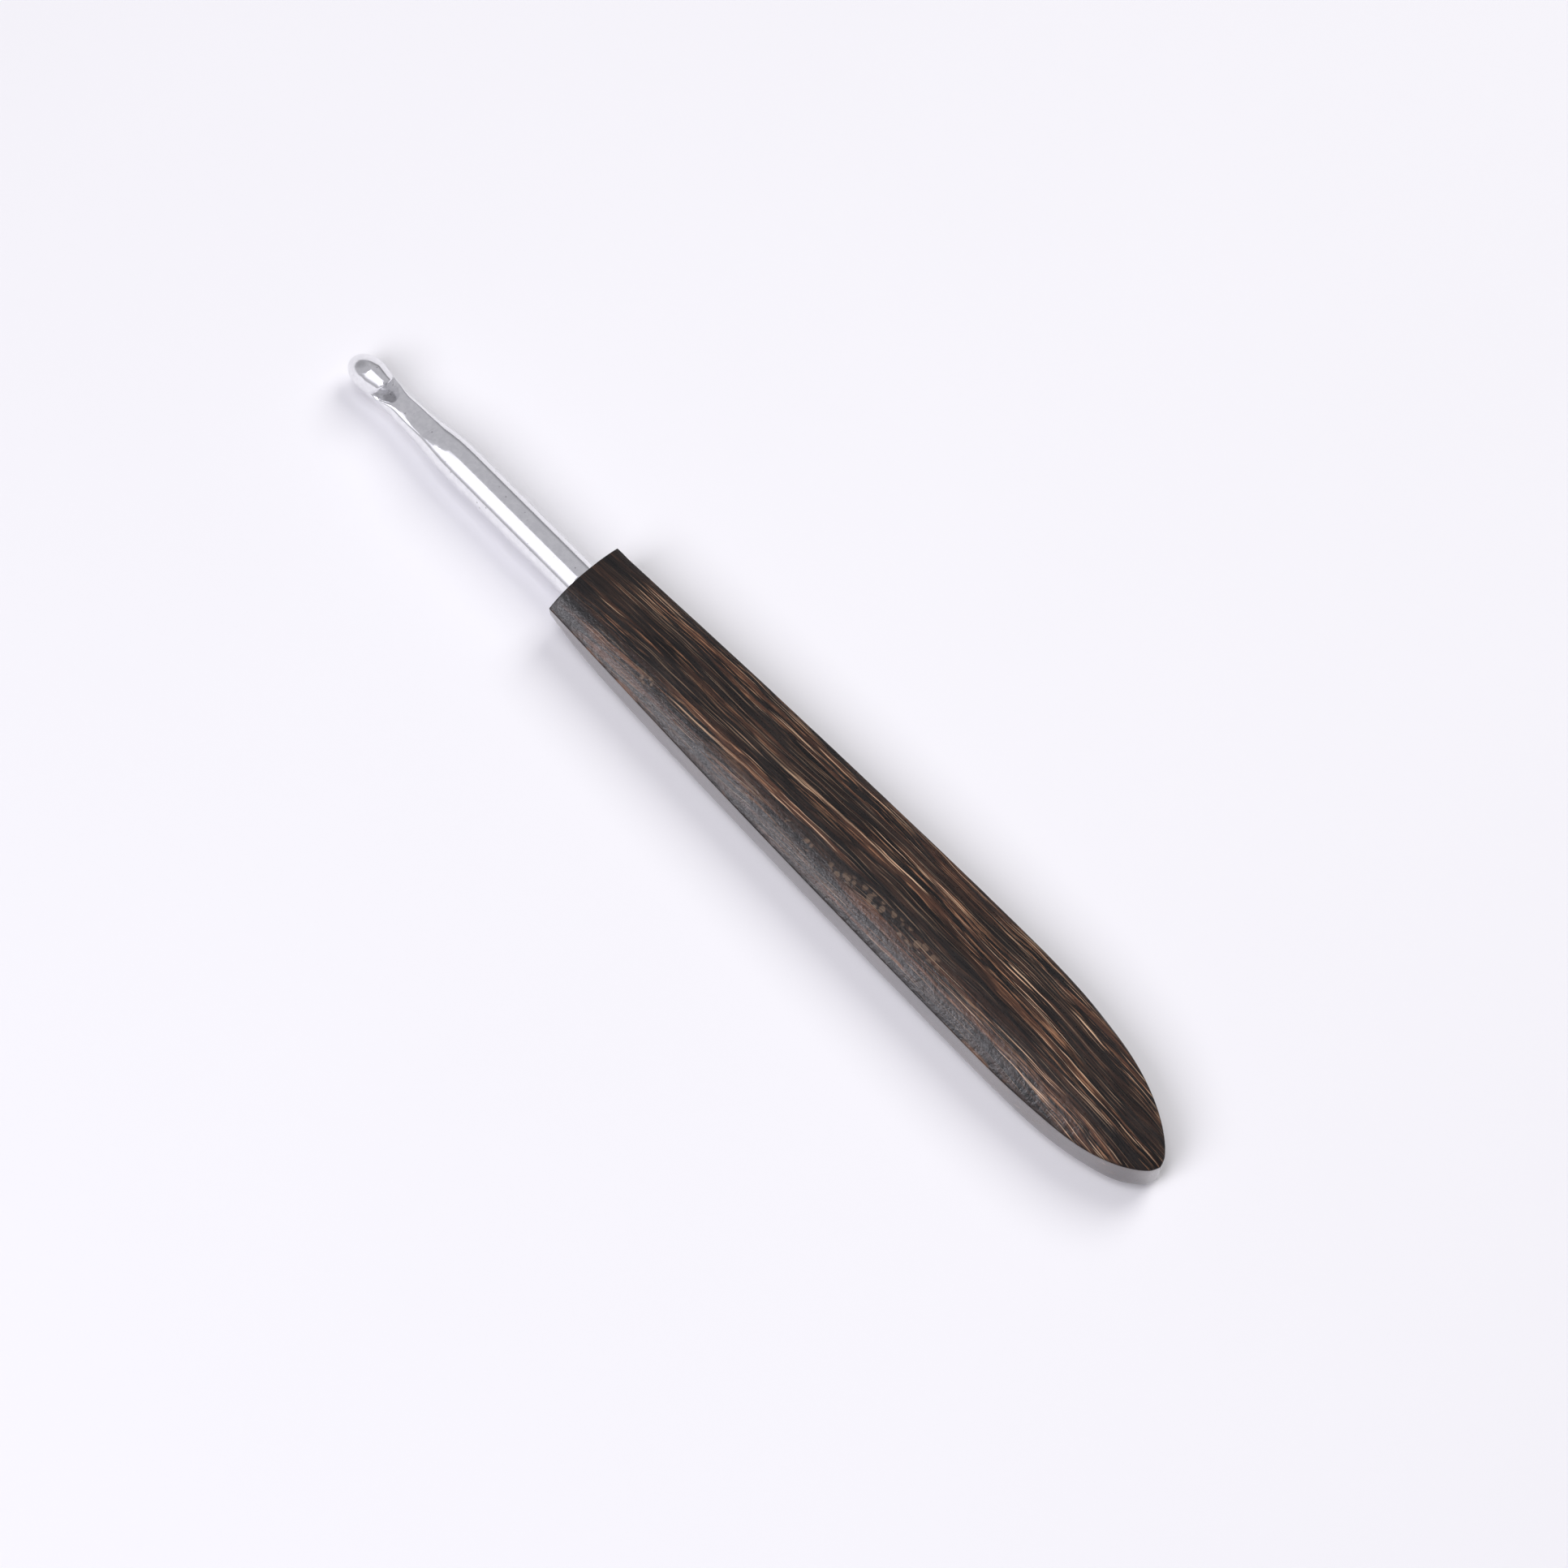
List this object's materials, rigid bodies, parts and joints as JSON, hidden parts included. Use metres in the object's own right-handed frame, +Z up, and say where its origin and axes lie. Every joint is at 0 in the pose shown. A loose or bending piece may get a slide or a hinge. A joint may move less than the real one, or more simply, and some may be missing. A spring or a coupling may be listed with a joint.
{
  "type": "crochet hook",
  "caption": "Slim polished metal crochet hook with a rounded head and cut throat, glued into a flat, crowned dark wood handle that widens to a blunt pointed tail.",
  "frame": {"origin": "under the middle of the whole length, on the surface that the handle rests on", "axes": "+X along the shaft towards the hook's tip, +Z up out of the handle's upper face, the way the hook's mouth opens, +Y across the handle"},
  "size_m": [0.1408, 0.0146, 0.009],
  "materials": {
    "hook_metal": "polished aluminium with faint lengthwise draw lines and a few small scratches",
    "handle_wood": "dark hardwood with fine tan streaks along its length, sanded and oiled to a satin",
    "adhesive": "cured amber adhesive"
  },
  "bodies": {
    "root": {"hook": "hook_metal", "handle": "handle_wood", "epoxy_bond": "adhesive"}
  },
  "joints": []
}
